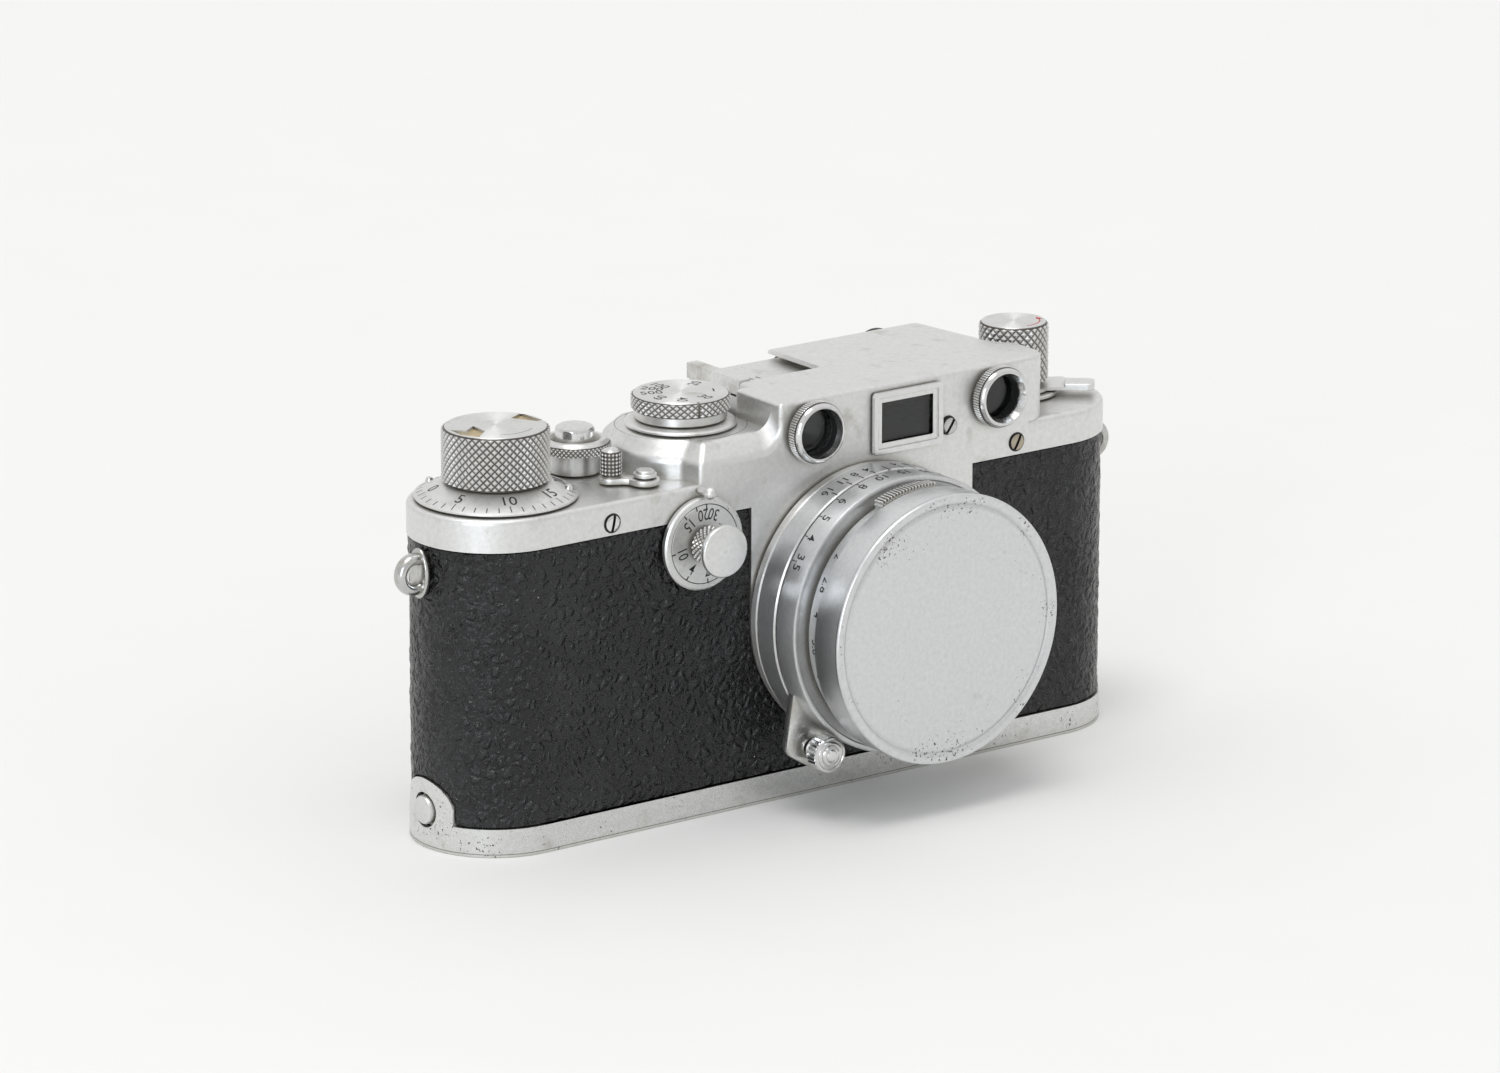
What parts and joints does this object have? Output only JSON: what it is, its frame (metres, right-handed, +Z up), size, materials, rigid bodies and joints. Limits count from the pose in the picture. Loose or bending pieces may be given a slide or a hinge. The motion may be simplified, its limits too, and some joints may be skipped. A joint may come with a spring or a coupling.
{
  "type": "rangefinder camera",
  "caption": "Metal rangefinder camera with a rounded leather-covered body, knobs and dials on a stepped top cover, a front dial, and a collapsible lens under a slip-on cap.",
  "frame": {"origin": "underside of the base plate, in the middle of the body's length and thickness", "axes": "+Z up, front and lens towards -Y, +X to the viewer's right, along the body's length"},
  "size_m": [0.1476, 0.0555, 0.069],
  "materials": {
    "satin_chrome": "satin, worn",
    "bright_chrome": "bright",
    "steel": "turned",
    "black_paint": "matt black",
    "window_glass": "polished",
    "covering": "coarse grain"
  },
  "bodies": {
    "body": {"accessory_shoe": "satin_chrome", "baseplate_stud": "steel", "body_shell": "black_paint", "cover_screw_left": "steel", "cover_screw_right": "steel", "leather_cover": "covering", "lens_base_ring": "satin_chrome", "lens_mount": "satin_chrome", "rangefinder_bezel_left": "bright_chrome", "rangefinder_bezel_right": "bright_chrome", "rangefinder_eye_glass": "window_glass", "rangefinder_eyepiece": "black_paint", "rangefinder_glass_left": "window_glass", "rangefinder_glass_right": "window_glass", "rangefinder_prism": "window_glass", "release_collar": "satin_chrome", "rewind_flange": "satin_chrome", "rewind_lever_screw": "steel", "shutter_crate": "black_paint", "slow_index_stud": "satin_chrome", "speed_ring": "satin_chrome", "strap_lug_left": "satin_chrome", "strap_lug_right": "satin_chrome", "top_cover": "satin_chrome", "viewfinder_eye_glass": "window_glass", "viewfinder_eyepiece": "black_paint", "viewfinder_frame": "bright_chrome", "viewfinder_glass": "window_glass", "window_screw": "steel"},
    "baseplate": {"baseplate": "satin_chrome", "tripod_bush": "steel"},
    "baseplate_key": {"baseplate_key": "satin_chrome"},
    "key_handle": {"key_handle": "steel"},
    "wind": {"wind_knob": "satin_chrome", "takeup_spool": "black_paint"},
    "counter_dial": {"counter_dial": "satin_chrome"},
    "film_sprocket": {"film_sprocket": "steel"},
    "curtain_drum": {"curtain_drum": "black_paint"},
    "curtain_roller": {"curtain_roller": "black_paint"},
    "speed_spindle": {"speed_spindle": "steel"},
    "speed_dial": {"speed_dial": "satin_chrome"},
    "release_button": {"release_button": "bright_chrome"},
    "rewind_lever": {"rewind_lever": "satin_chrome"},
    "slow_dial": {"slow_dial": "satin_chrome", "slow_knob": "satin_chrome"},
    "rewind_shaft": {"rewind_shaft": "steel"},
    "rewind_knob": {"rewind_knob": "satin_chrome"},
    "eyesight_lever": {"eyesight_lever": "satin_chrome"},
    "pressure_plate": {"pressure_plate": "black_paint"},
    "focus_ring": {"focus_ring": "satin_chrome"},
    "focus_lock_knob": {"focus_lock_knob": "satin_chrome"},
    "focus_sleeve": {"focus_sleeve": "steel"},
    "lens_barrel": {"lens_barrel": "satin_chrome", "front_glass": "window_glass", "rear_glass": "window_glass"},
    "aperture_ring": {"aperture_ring": "satin_chrome", "iris_ring": "black_paint"},
    "lens_cap": {"lens_cap": "satin_chrome"},
    "rangefinder_arm": {"rangefinder_arm": "steel"}
  },
  "joints": [
    {"name": "baseplate_open", "type": "hinge", "parent": "body", "child": "baseplate", "pos_m": [-0.0679, 0, 0.0119], "axis": [0, 1, 0], "range_deg": [0, 30]},
    {"name": "baseplate_key_turn", "type": "hinge", "parent": "baseplate", "child": "baseplate_key", "pos_m": [0.05201, 0, 0], "axis": [0, 0, 1], "range_deg": [0, 180]},
    {"name": "key_handle_fold", "type": "hinge", "parent": "baseplate_key", "child": "key_handle", "pos_m": [0.05201, 0, 0.00022], "axis": [-1, 0, 0], "range_deg": [0, 90]},
    {"name": "wind_turn", "type": "hinge", "parent": "body", "child": "wind", "pos_m": [-0.05341, 0, 0], "axis": [0, 0, 1], "continuous": true},
    {"name": "counter_turn", "type": "hinge", "parent": "body", "child": "counter_dial", "pos_m": [-0.05341, 0, 0], "axis": [0, 0, 1], "continuous": true},
    {"name": "sprocket_turn", "type": "hinge", "parent": "body", "child": "film_sprocket", "pos_m": [-0.0345, 0.0049, 0], "axis": [0, 0, 1], "continuous": true},
    {"name": "drum_turn", "type": "hinge", "parent": "body", "child": "curtain_drum", "pos_m": [-0.0168, 0, 0], "axis": [0, 0, 1], "continuous": true},
    {"name": "roller_turn", "type": "hinge", "parent": "body", "child": "curtain_roller", "pos_m": [0.0325, 0.0025, 0], "axis": [0, 0, 1], "continuous": true},
    {"name": "speed_turn", "type": "hinge", "parent": "curtain_drum", "child": "speed_spindle", "pos_m": [-0.0168, 0, 0], "axis": [0, 0, 1], "range_deg": [0, 300]},
    {"name": "speed_lift", "type": "slide", "parent": "speed_spindle", "child": "speed_dial", "axis": [0, 0, 1], "range_m": [0, 0.0025], "stiffness_N_per_m": 300},
    {"name": "release_press", "type": "slide", "parent": "body", "child": "release_button", "axis": [0, 0, -1], "range_m": [0, 0.0022], "stiffness_N_per_m": 400},
    {"name": "rewind_lever_turn", "type": "hinge", "parent": "body", "child": "rewind_lever", "pos_m": [-0.0303, -0.0088, 0], "axis": [0, 0, 1], "range_deg": [0, 60]},
    {"name": "slow_dial_turn", "type": "hinge", "parent": "body", "child": "slow_dial", "pos_m": [-0.0232, 0, 0.04685], "axis": [0, -1, 0], "range_deg": [0, 250]},
    {"name": "rewind_turn", "type": "hinge", "parent": "body", "child": "rewind_shaft", "pos_m": [0.05379, 0.0017, 0], "axis": [0, 0, 1], "continuous": true},
    {"name": "rewind_lift", "type": "slide", "parent": "rewind_shaft", "child": "rewind_knob", "axis": [0, 0, 1], "range_m": [0, 0.006]},
    {"name": "eyesight_turn", "type": "hinge", "parent": "body", "child": "eyesight_lever", "pos_m": [0.05379, 0.0017, 0], "axis": [0, 0, 1], "range_deg": [0, 45]},
    {"name": "pressure_plate_give", "type": "slide", "parent": "body", "child": "pressure_plate", "axis": [0, 1, 0], "range_m": [0, 0.0008], "stiffness_N_per_m": 500},
    {"name": "focus_turn", "type": "hinge", "parent": "body", "child": "focus_ring", "pos_m": [0.01, 0, 0.0317], "axis": [0, -1, 0], "range_deg": [0, 150]},
    {"name": "focus_lock_press", "type": "slide", "parent": "focus_ring", "child": "focus_lock_knob", "axis": [0, 1, 0], "range_m": [0, 0.001], "stiffness_N_per_m": 300},
    {"name": "focus_slide", "type": "slide", "parent": "body", "child": "focus_sleeve", "axis": [0, -1, 0], "range_m": [0, 0.00265]},
    {"name": "barrel_slide", "type": "slide", "parent": "focus_sleeve", "child": "lens_barrel", "axis": [0, -1, 0], "range_m": [0, 0.014]},
    {"name": "aperture_turn", "type": "hinge", "parent": "lens_barrel", "child": "aperture_ring", "pos_m": [0.01, 0, 0.0317], "axis": [0, -1, 0], "range_deg": [0, 100]},
    {"name": "cap_slide", "type": "slide", "parent": "lens_barrel", "child": "lens_cap", "axis": [0, -1, 0], "range_m": [0, 0.015]},
    {"name": "rangefinder_arm_turn", "type": "hinge", "parent": "body", "child": "rangefinder_arm", "pos_m": [-0.00901, -0.0096, 0], "axis": [0, 0, -1], "range_deg": [0, 8]}
  ],
  "couplings": [
    {"joint": "counter_turn", "follows": "wind_turn", "ratio": 0.025},
    {"joint": "sprocket_turn", "follows": "wind_turn", "ratio": -1},
    {"joint": "drum_turn", "follows": "wind_turn", "ratio": 1},
    {"joint": "roller_turn", "follows": "wind_turn", "ratio": 1.7188},
    {"joint": "focus_slide", "follows": "focus_turn", "m_per_rad": 0.0010046},
    {"joint": "rangefinder_arm_turn", "follows": "focus_turn", "ratio": 0.052667}
  ]
}
